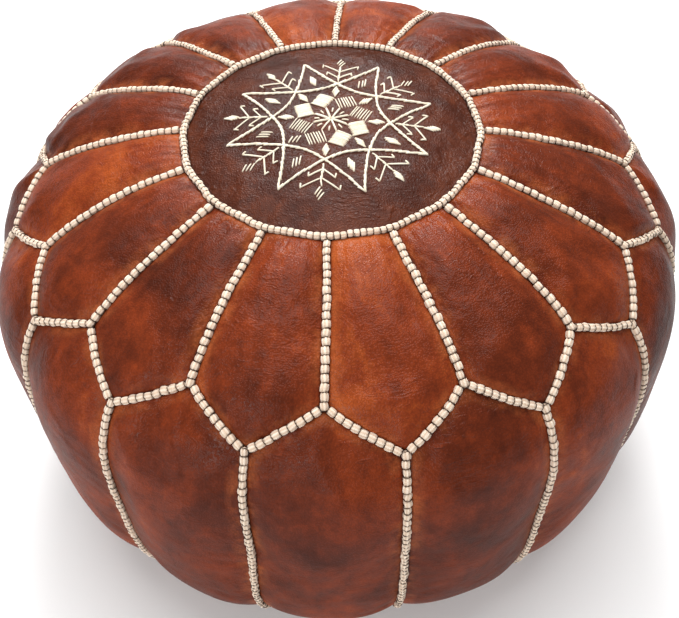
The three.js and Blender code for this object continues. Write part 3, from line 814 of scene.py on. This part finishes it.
def base_topstitching(stitch):
    """Two rows of stitches along each side of the zip, on the underside of the base."""
    axes = [(TOPSTITCH_LENGTH, 0, 0), (0, -TOPSTITCH_THREAD, 0), (0, 0, -TOPSTITCH_THREAD)]
    starts = np.arange(-STITCHED_HALF_LENGTH, STITCHED_HALF_LENGTH, TOPSTITCH_LENGTH + TOPSTITCH_GAP)
    frames = []
    for side in (-1, 1):
        for out in TOPSTITCH_ROWS:
            y = ZIP_EDGE_Y + out
            z = valley_rise(y) + 0.0002
            frames += [[*axes, (x + TOPSTITCH_LENGTH / 2, side * y, z)] for x in starts]
    return repeated("base_topstitching", stitch, np.array(frames))


def zip_tooth():
    """One cast tooth of the front row: a block with a nose on its inner end."""
    low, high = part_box("zip_teeth_front")
    bpy.ops.mesh.primitive_cube_add(size=1, location=(0, (low.y + high.y) / 2, (low.z + high.z) / 2))
    tooth = start_mesh("zip_tooth")
    bpy.ops.transform.resize(value=(TOOTH_LENGTH, high.y - low.y, high.z - low.z))
    select_where(tooth, "FACE", lambda co: co.y > high.y - 1e-5)
    bpy.ops.mesh.inset(thickness=0.00025, depth=-0.0003)
    bpy.ops.mesh.select_all(action="SELECT")
    bpy.ops.mesh.bevel(offset=0.00012, segments=1)
    return finish_mesh(tooth, 30)


def zip_teeth(place, side, tooth):
    low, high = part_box("zip_teeth_" + place)
    first = low.x + FIRST_TOOTH + (0 if side < 0 else TOOTH_PITCH / 2)
    places = [first + TOOTH_PITCH * n for n in range(int((high.x - low.x) / TOOTH_PITCH))]
    frames = [[(1, 0, 0), (0, -side, 0), (0, 0, 1), (x, 0, 0)] for x in places]
    piece = repeated("zip_teeth_row_" + place, tooth, np.array(frames, float))
    if side > 0:
        flip_faces(piece)
    return piece


def flip_faces(piece):
    edit_all(piece)
    bpy.ops.mesh.normals_make_consistent(inside=False)
    bpy.ops.object.mode_set(mode="OBJECT")


def eased(node, name, edge):
    """A copy of a cast metal piece with its edges eased."""
    copy = frame["nodes"][node].copy()
    copy.data = frame["nodes"][node].data.copy()
    copy.parent = None
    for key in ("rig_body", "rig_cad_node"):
        if key in copy:
            del copy[key]
    copy.name = copy.data.name = name
    copy.hide_render = copy.hide_viewport = False
    bpy.context.scene.collection.objects.link(copy)
    edit_all(copy)
    bpy.ops.mesh.remove_doubles(threshold=0.000005)
    bpy.ops.mesh.dissolve_limited(angle_limit=math.radians(1))
    bpy.ops.object.mode_set(mode="OBJECT")
    ease = copy.modifiers.new("ease", "BEVEL")
    ease.width = edge
    ease.segments = 2
    ease.limit_method = "ANGLE"
    ease.angle_limit = math.radians(30)
    apply_modifiers(copy)
    copy.data.materials.clear()
    bpy.ops.object.shade_smooth_by_angle(angle=math.radians(35))
    return copy


# ---- Lining and wadding ----
LINING = 0.001
LINING_DEPTH = 0.007
LINING_FLOOR_Z = 0.0036
LINING_FLOOR_R = 0.176
LINING_GAP = VALLEY_HALF_WIDTH + 0.006  # from the zip's middle to the edge of the lining
LINING_STEPS = 44
LINING_SIDES = 96
FLOOR_STEPS = 15


def lining_outline():
    arcs = np.linspace(0, FLOOR_ARC * 0.985, LINING_STEPS)
    side = np.stack([np.interp(arcs, ARCS, RADII), 0 * arcs, np.interp(arcs, ARCS, HEIGHTS)], -1)
    side = side - outward(np.full(LINING_STEPS, math.pi / 2), arcs) * LINING_DEPTH
    side[0] = (0, 0, side[0, 2])
    floor = [(LINING_FLOOR_R * share, 0, LINING_FLOOR_Z) for share in np.linspace(1, 0, FLOOR_STEPS)]
    return np.concatenate([side, floor])


def cotton_lining():
    """A bag turned from its outline, open over the zip, with shallow gathers down its side."""
    outline = lining_outline()
    data = bpy.data.meshes.new("cotton_lining")
    data.from_pydata(outline.tolist(), [(i, i + 1) for i in range(len(outline) - 1)], [])
    bag = bpy.data.objects.new("cotton_lining", data)
    bpy.context.scene.collection.objects.link(bag)
    edit_all(bag)
    bpy.ops.mesh.spin(steps=LINING_SIDES, angle=math.tau, center=(0, 0, 0), axis=(0, 0, 1))
    bpy.ops.mesh.select_all(action="SELECT")
    bpy.ops.mesh.remove_doubles(threshold=0.0001)
    bpy.ops.mesh.normals_make_consistent(inside=False)
    select_where(bag, "FACE", lambda co: co.z < 0.009 and abs(co.y) < LINING_GAP)
    bpy.ops.mesh.delete(type="FACE")
    bpy.ops.object.mode_set(mode="OBJECT")
    for vertex in data.vertices:
        heading, height = math.atan2(vertex.co.x, -vertex.co.y), vertex.co.z
        fold = 0.0006 * (math.sin(heading * 32 + height * 12) - 1) * min(1, height / 0.05)
        vertex.co.x *= 1 + fold / TURNING_R
        vertex.co.y *= 1 + fold / TURNING_R
    data.polygons.foreach_set("use_smooth", [True] * len(data.polygons))
    give_thickness(bag, LINING, 0)
    return bag


WADDING_MIDDLE = Vector((0, 0, 0.15))


def wadding():
    """The stuffing: a copy of its solid, remeshed and roughened into soft lumps."""
    lump = eased("stuffing", "wadding", 0.002)
    cloud = lump.modifiers.new("voxels", "REMESH")
    cloud.mode = "VOXEL"
    cloud.voxel_size = 0.009
    soften = lump.modifiers.new("soften", "SMOOTH")
    soften.iterations = 4
    apply_modifiers(lump)
    for vertex in lump.data.vertices:
        co = vertex.co
        sink = 0.0015 * (1 - math.sin(co.x * 70) * math.sin(co.y * 64 + 1) * math.sin(co.z * 80))
        vertex.co += (WADDING_MIDDLE - co).normalized() * sink
    lump.data.polygons.foreach_set("use_smooth", [True] * len(lump.data.polygons))
    return lump


# ---- Materials ----
def new_material(name):
    material = bpy.data.materials.new(name)
    material.use_nodes = True
    tree = material.node_tree
    return material, tree, tree.nodes["Principled BSDF"]


def set_inputs(tree, node, inputs):
    """Links the sockets among the values, and sets the rest as constants."""
    for key, value in inputs.items():
        if isinstance(value, bpy.types.NodeSocket):
            tree.links.new(value, node.inputs[key])
        else:
            node.inputs[key].default_value = value


def add_node(tree, kind, inputs=None, **settings):
    made = tree.nodes.new(kind)
    for key, value in settings.items():
        setattr(made, key, value)
    set_inputs(tree, made, inputs or {})
    return made


def noise(tree, at, scale, detail=4.0, roughness=0.55, distortion=0.0, kind="FBM"):
    inputs = {"Vector": at, "Scale": scale, "Detail": detail}
    inputs.update({"Roughness": roughness, "Distortion": distortion})
    return add_node(tree, "ShaderNodeTexNoise", inputs, noise_type=kind).outputs[0]


def rescale(tree, value, from_low, from_high, to_low=0.0, to_high=1.0):
    inputs = {0: value, 1: from_low, 2: from_high, 3: to_low, 4: to_high}
    return add_node(tree, "ShaderNodeMapRange", inputs).outputs[0]


def maths(tree, operation, first, second=0.0):
    return add_node(tree, "ShaderNodeMath", {0: first, 1: second}, operation=operation).outputs[0]


def times(tree, first, second):
    return maths(tree, "MULTIPLY", first, second)


def plus(tree, first, second):
    return maths(tree, "ADD", first, second)


def blend_colour(tree, share, first, second):
    made = add_node(tree, "ShaderNodeMix", data_type="RGBA")
    set_inputs(tree, made, {0: share, 6: first, 7: second})
    return made.outputs[2]


def ramp(tree, share, stops):
    made = add_node(tree, "ShaderNodeValToRGB", {"Fac": share})
    elements = made.color_ramp.elements
    while len(elements) < len(stops):
        elements.new(0.5)
    for element, (place, colour) in zip(elements, stops):
        element.position = place
        element.color = colour
    return made.outputs["Color"]


def bump(tree, height, distance, before=None):
    inputs = {"Height": height, "Distance": distance, "Strength": 1.0}
    if before is not None:
        inputs["Normal"] = before
    return add_node(tree, "ShaderNodeBump", inputs).outputs["Normal"]


def object_place(tree):
    return add_node(tree, "ShaderNodeTexCoord").outputs["Object"]


def attribute(tree, name):
    return add_node(tree, "ShaderNodeAttribute", attribute_name=name).outputs["Fac"]


def dyed_leather(name, stops, painted_shade, rub_and_highlight, rough, specular=0.05, wrinkled=1.0, polish=0.18):
    """Hand-dyed leather: clouds and brushed streaks of dye, edges lightened by rubbing and by a painted
    highlight, painted shade beside the seams, in the creases and in the grain's valleys, and bumps for
    grain, creases and dents.
    """
    material, tree, skin = new_material(name)
    at = object_place(tree)
    plan = add_node(tree, "ShaderNodeUVMap", uv_map="plan").outputs["UV"]
    near = attribute(tree, "seam_distance")
    tone = attribute(tree, "tone")

    clouds = noise(tree, at, 11, 4, 0.55, 0.9)
    blots = noise(tree, at, 46, 4, 0.62, 0.5)
    down = add_node(tree, "ShaderNodeMapping", {"Vector": plan, "Scale": (2.4, 0.9, 1)}).outputs["Vector"]
    streaks = noise(tree, down, 3.0, 5, 0.65, 0.9)
    mottles = noise(tree, at, 170, 4, 0.6, 0.3)
    dye = times(tree, clouds, 0.46)
    for layer, share in ((blots, 0.24), (streaks, 0.18), (mottles, 0.12), (tone, 0.085)):
        dye = plus(tree, dye, times(tree, layer, share))
    colour = ramp(tree, rescale(tree, dye, 0.34, 0.66), stops)

    # Partly rubbing wear and partly a painted highlight: the leather is lightened in patches within about a
    # centimetre of each seam.
    wear_and_highlight_noise = noise(tree, at, 60, 4, 0.65)
    rub_and_highlight_mask = times(tree, rescale(tree, near, 0.012, 0.0035), rescale(tree, wear_and_highlight_noise, 0.42, 0.62, 0, 0.6))
    colour = blend_colour(tree, rub_and_highlight_mask, colour, rub_and_highlight)
    # Painted shade: the leather darkens towards the shade colour in the last few millimetres beside each
    # seam.
    colour = blend_colour(tree, rescale(tree, near, 0.0042, 0.0016, 0, 0.85), colour, painted_shade)

    grain = add_node(tree, "ShaderNodeTexVoronoi", {"Vector": at, "Scale": 780}, feature="F1")
    pebbles = rescale(tree, grain.outputs["Distance"], 0.05, 0.65)
    across = add_node(tree, "ShaderNodeMapping", {"Vector": plan, "Scale": (1.0, 3.4, 1)}).outputs["Vector"]
    folds = noise(tree, across, 9.0, 5, 0.6, 1.1, "RIDGED_MULTIFRACTAL")
    slack = rescale(tree, noise(tree, at, 21, 2, 0.5), 0.50, 0.66)
    puckers = noise(tree, at, 85, 5, 0.6, 1.4, "RIDGED_MULTIFRACTAL")
    pinched = times(tree, rescale(tree, near, 0.030, 0.003, 0.12, 1.0), rescale(tree, blots, 0.38, 0.6))
    folds = times(tree, folds, slack)
    puckers = times(tree, puckers, pinched)
    handled = rescale(tree, noise(tree, at, 27, 3, 0.6, 0.4), 0.47, 0.62, 0.12, 1.0)
    crinkles = times(tree, noise(tree, at, 210, 4, 0.62, 0.9, "RIDGED_MULTIFRACTAL"), handled)
    # Painted shade: the leather darkens towards the shade colour in the troughs of the folds and puckers.
    crease_shade = rescale(tree, plus(tree, folds, puckers), 1.0, 0.25, 0, 0.16)
    colour = blend_colour(tree, crease_shade, colour, painted_shade)
    # Painted shade: the valleys of the grain darken towards the shade colour.
    colour = blend_colour(tree, rescale(tree, pebbles, 0.6, 1.0, 0, 0.22), colour, painted_shade)

    relief = bump(tree, noise(tree, at, 24, 2, 0.5, 0.4), 0.0045 * wrinkled)
    relief = bump(tree, folds, 0.0008 * wrinkled, relief)
    relief = bump(tree, puckers, 0.0013 * wrinkled, relief)
    relief = bump(tree, crinkles, 0.0006 * wrinkled, relief)
    relief = bump(tree, pebbles, -0.0002, relief)
    roughness = rescale(tree, blots, 0.35, 0.65, *rough)
    set_inputs(tree, skin, {"Base Color": colour, "Normal": relief, "Roughness": roughness})
    set_inputs(tree, skin, {"Specular IOR Level": specular, "IOR": 1.15})
    set_inputs(tree, skin, {"Coat Weight": polish, "Coat Roughness": 0.20, "Coat Normal": relief})
    return material


def cotton_cord(name, clean, grime_and_shade, strand_scale, sheen):
    """Spun cotton with grime at random, painted shade where it is pinched and between its strands, and each
    bead a shade apart.
    """
    material, tree, skin = new_material(name)
    at = object_place(tree)
    pinch_shade = rescale(tree, maths(tree, "ABSOLUTE", attribute(tree, "along")), 0.34, 0.5)
    fuzz = noise(tree, at, strand_scale, 4, 0.65)
    grime = noise(tree, at, 160, 3, 0.6)
    colour = blend_colour(tree, rescale(tree, grime, 0.48, 0.78, 0, 0.4), clean, grime_and_shade)
    colour = blend_colour(tree, rescale(tree, attribute(tree, "shade"), 0, 1, 0, 0.2), colour, grime_and_shade)
    # Painted shade: darker in the furrows between the strands.
    colour = blend_colour(tree, times(tree, attribute(tree, "hollow"), 0.8), colour, grime_and_shade)
    # Painted shade: darker towards the pinched ends of each bead and stitch.
    colour = blend_colour(tree, times(tree, pinch_shade, 0.6), colour, grime_and_shade)
    roughness = rescale(tree, fuzz, 0.3, 0.7, 0.7, 0.92)
    relief = bump(tree, fuzz, 0.0005)
    set_inputs(tree, skin, {"Base Color": colour, "Normal": relief, "Roughness": roughness})
    set_inputs(tree, skin, {"Specular IOR Level": 0.2, "Sheen Weight": sheen, "Sheen Roughness": 0.4})
    return material


def woven_cloth(name, warp, weft, threads, relief_depth):
    """Plain or taped weave: two sets of crossing ribs on Object coordinates."""
    material, tree, skin = new_material(name)
    at = object_place(tree)
    inputs = {"Vector": at, "Scale": threads, "Distortion": 0.6, "Detail": 1.0}
    ribs = [
        add_node(tree, "ShaderNodeTexWave", inputs, bands_direction=direction).outputs["Fac"]
        for direction in ("X", "Y")
    ]
    facing = rescale(tree, maths(tree, "SUBTRACT", *ribs), -0.5, 0.5)
    colour = blend_colour(tree, facing, warp, weft)
    colour = blend_colour(tree, rescale(tree, noise(tree, at, 30), 0.4, 0.7, 0, 0.3), colour, weft)
    relief = bump(tree, maths(tree, "MAXIMUM", *ribs), relief_depth)
    set_inputs(tree, skin, {"Base Color": colour, "Normal": relief, "Roughness": 0.9, "Sheen Weight": 0.2})
    return material


def worn_brass():
    material, tree, skin = new_material("worn_brass")
    at = object_place(tree)
    tarnish = noise(tree, at, 220, 5, 0.65, 0.3)
    scratches_at = add_node(tree, "ShaderNodeMapping", {"Vector": at, "Scale": (1, 9, 9)}).outputs["Vector"]
    scratches = noise(tree, scratches_at, 500, 3, 0.7)
    stops = [(0, (0.62, 0.42, 0.15, 1)), (1, (0.28, 0.17, 0.07, 1))]
    colour = ramp(tree, rescale(tree, tarnish, 0.35, 0.68), stops)
    roughness = rescale(tree, scratches, 0.3, 0.7, 0.25, 0.5)
    set_inputs(tree, skin, {"Base Color": colour, "Roughness": roughness, "Metallic": 1.0})
    set_inputs(tree, skin, {"Normal": bump(tree, scratches, 0.00003)})
    return material


def loose_fibre():
    material, tree, skin = new_material("loose_fibre")
    at = object_place(tree)
    fluff = noise(tree, at, 180, 6, 0.7, 1.2)
    colour = ramp(tree, fluff, [(0.3, (0.72, 0.68, 0.6, 1)), (0.7, (0.88, 0.86, 0.8, 1))])
    set_inputs(tree, skin, {"Base Color": colour, "Normal": bump(tree, fluff, 0.003)})
    set_inputs(tree, skin, {"Roughness": 1.0, "Sheen Weight": 0.5})
    return material


panel_leather = dyed_leather(
    "panel_leather",
    [
        (0.0, (0.062, 0.011, 0.0040, 1)),
        (0.35, (0.135, 0.022, 0.0065, 1)),
        (0.65, (0.235, 0.037, 0.0090, 1)),
        (1.0, (0.40, 0.078, 0.015, 1)),
    ],
    painted_shade=(0.024, 0.006, 0.0035, 1),
    rub_and_highlight=(0.50, 0.13, 0.038, 1),
    rough=(0.36, 0.48),
)
medallion_dye = dyed_leather(
    "medallion_dye",
    [(0.0, (0.022, 0.0055, 0.0028, 1)), (0.5, (0.066, 0.0145, 0.0060, 1)), (1.0, (0.160, 0.040, 0.016, 1))],
    painted_shade=(0.012, 0.004, 0.003, 1),
    rub_and_highlight=(0.09, 0.024, 0.011, 1),
    rough=(0.36, 0.46),
    wrinkled=1.3,
    polish=0.16,
)
base_dye = dyed_leather(
    "base_dye",
    [(0.0, (0.060, 0.020, 0.011, 1)), (0.5, (0.110, 0.035, 0.017, 1)), (1.0, (0.19, 0.065, 0.030, 1))],
    painted_shade=(0.03, 0.010, 0.006, 1),
    rub_and_highlight=(0.18, 0.075, 0.04, 1),
    rough=(0.55, 0.7),
    specular=0.2,
    wrinkled=0.5,
    polish=0.0,
)
cream_cord = cotton_cord("cream_cord", (0.95, 0.82, 0.68, 1), (0.58, 0.40, 0.27, 1), 900, 0.15)
embroidery_thread = cotton_cord("embroidery_thread", (0.88, 0.81, 0.66, 1), (0.60, 0.47, 0.31, 1), 1400, 0.2)
dark_thread = cotton_cord("dark_thread", (0.045, 0.020, 0.012, 1), (0.02, 0.009, 0.006, 1), 1400, 0.1)
brown_tape = woven_cloth("brown_tape", (0.030, 0.017, 0.011, 1), (0.055, 0.030, 0.019, 1), 330, 0.00015)
calico = woven_cloth("calico", (0.70, 0.62, 0.48, 1), (0.60, 0.51, 0.38, 1), 260, 0.0002)
brass = worn_brass()
cotton_wadding = loose_fibre()


# ---- Putting the pieces on their bodies ----
def fit(piece, body, slot, material, *nodes):
    piece.data.materials.clear()
    piece.data.materials.append(material)
    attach(piece, body)
    if nodes:
        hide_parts(*nodes)
    return piece


def cover_pieces():
    for kind, index, panel in stuffed_panels():
        fit(panel, "cover", "panel_leather", panel_leather, f"{kind}_panel_{index + 1:02d}")
    disc = stuffed_medallion()
    fit(disc, "cover", "medallion_leather", medallion_dye, "medallion")
    return disc


def seam_pieces():
    bead, loop = cord_bead(), binding_loop()
    crown_ring, floor_ring = [ring_run(MEDALLION_ARC)], [ring_run(FLOOR_ARC)]
    made = [
        (sewn_seams("medallion", crown_ring, bead, loop, RING_BEAD_PITCH, RING_BEAD_R), "medallion_seam"),
        (sewn_seams("upper", upper_runs(), bead, loop), "upper_seams"),
        (sewn_seams("side", side_runs(), bead, loop), "side_seams"),
        (sewn_seams("floor", floor_ring, bead, loop, radius=FLOOR_BEAD_R, lift=0.0), "side_seams"),
    ]
    for (cord, binding), node in made:
        fit(cord, "cover", "cream_cord", cream_cord, node)
        fit(binding, "cover", "dark_thread", dark_thread)
    for spare in (bead, loop):
        bpy.data.objects.remove(spare)


def embroidery_pieces(disc, stitch):
    ground = BVHTree.FromObject(disc, bpy.context.evaluated_depsgraph_get())
    made = [("star", "", star_stitching(ground)), ("flower", "", flower_stitching(ground))]
    for index in range(STAR_POINTS):
        made.append(("branch", f"_{index + 1:02d}", branch_stitching(ground, index)))
    for motif, number, frames in made:
        piece = repeated(f"{motif}_stitching{number}", stitch, np.array(frames))
        fit(piece, "cover", "embroidery_thread", embroidery_thread, f"{motif}_embroidery{number}")


def base_and_zip_pieces(stitch):
    tooth = zip_tooth()
    for place, side in (("front", -1), ("back", 1)):
        fit(base_leather(place, side), "cover", "base_leather", base_dye, "base_panel_" + place)
        fit(zip_teeth(place, side, tooth), "cover", "brass", brass, "zip_teeth_" + place)
        tape = frame["nodes"]["zip_tape_" + place].data.materials
        tape.clear()
        tape.append(brown_tape)
    bpy.data.objects.remove(tooth)
    for side in (-1, 1):
        fit(zip_end_patch(side), "cover", "base_leather", base_dye)
    fit(base_topstitching(stitch), "cover", "dark_thread", dark_thread)
    for node in ("zip_top_stop_front", "zip_top_stop_back", "zip_bottom_stop"):
        fit(eased(node, node + "_cast", 0.0003), "cover", "brass", brass, node)
    for node, body in (("zip_slider", "slider"), ("zip_pull_tab", "pull_tab")):
        fit(eased(node, node + "_cast", 0.0002), body, "brass", brass, node)


def inner_pieces():
    fit(cotton_lining(), "cover", "lining_cotton", calico, "lining")
    fill = fit(wadding(), "cover", "stuffing", cotton_wadding, "stuffing")


medallion_disc = cover_pieces()
seam_pieces()
laid_stitch = unit_stitch()
embroidery_pieces(medallion_disc, laid_stitch)
base_and_zip_pieces(laid_stitch)
bpy.data.objects.remove(laid_stitch)
inner_pieces()


# ---- Stage ----
def plain_floor():
    bpy.ops.mesh.primitive_plane_add(size=8)
    floor = bpy.context.active_object
    floor.name = "floor"
    material, _, paint = new_material("floor_paint")
    paint.inputs["Base Color"].default_value = (0.92, 0.92, 0.92, 1)
    paint.inputs["Roughness"].default_value = 0.9
    floor.data.materials.append(material)


def area_light(name, place, size, power, target=(0, 0, 0.2)):
    light = bpy.data.objects.new(name, bpy.data.lights.new(name, "AREA"))
    light.data.shape = "DISK"
    light.data.size = size
    light.data.energy = power
    light.location = place
    light.rotation_mode = "QUATERNION"
    light.rotation_quaternion = (Vector(target) - light.location).to_track_quat("-Z", "Y")
    bpy.context.scene.collection.objects.link(light)


def studio():
    plain_floor()
    sky = bpy.data.worlds.new("studio")
    bpy.context.scene.world = sky
    sky.use_nodes = True
    inputs = {"Color": (1, 1, 1, 1), "Strength": 0.46}
    set_inputs(sky.node_tree, sky.node_tree.nodes["Background"], inputs)
    area_light("back_softbox", (-0.1, 1.7, 1.45), 1.0, 38)
    area_light("overhead", (0, 0.6, 2.4), 2.4, 58)
    area_light("front_fill", (-0.7, -2.2, 1.0), 1.5, 14)
    area_light("front_key", (-1.3, -1.6, 1.3), 0.7, 10)
    bpy.context.scene.view_settings.view_transform = "Standard"


studio()
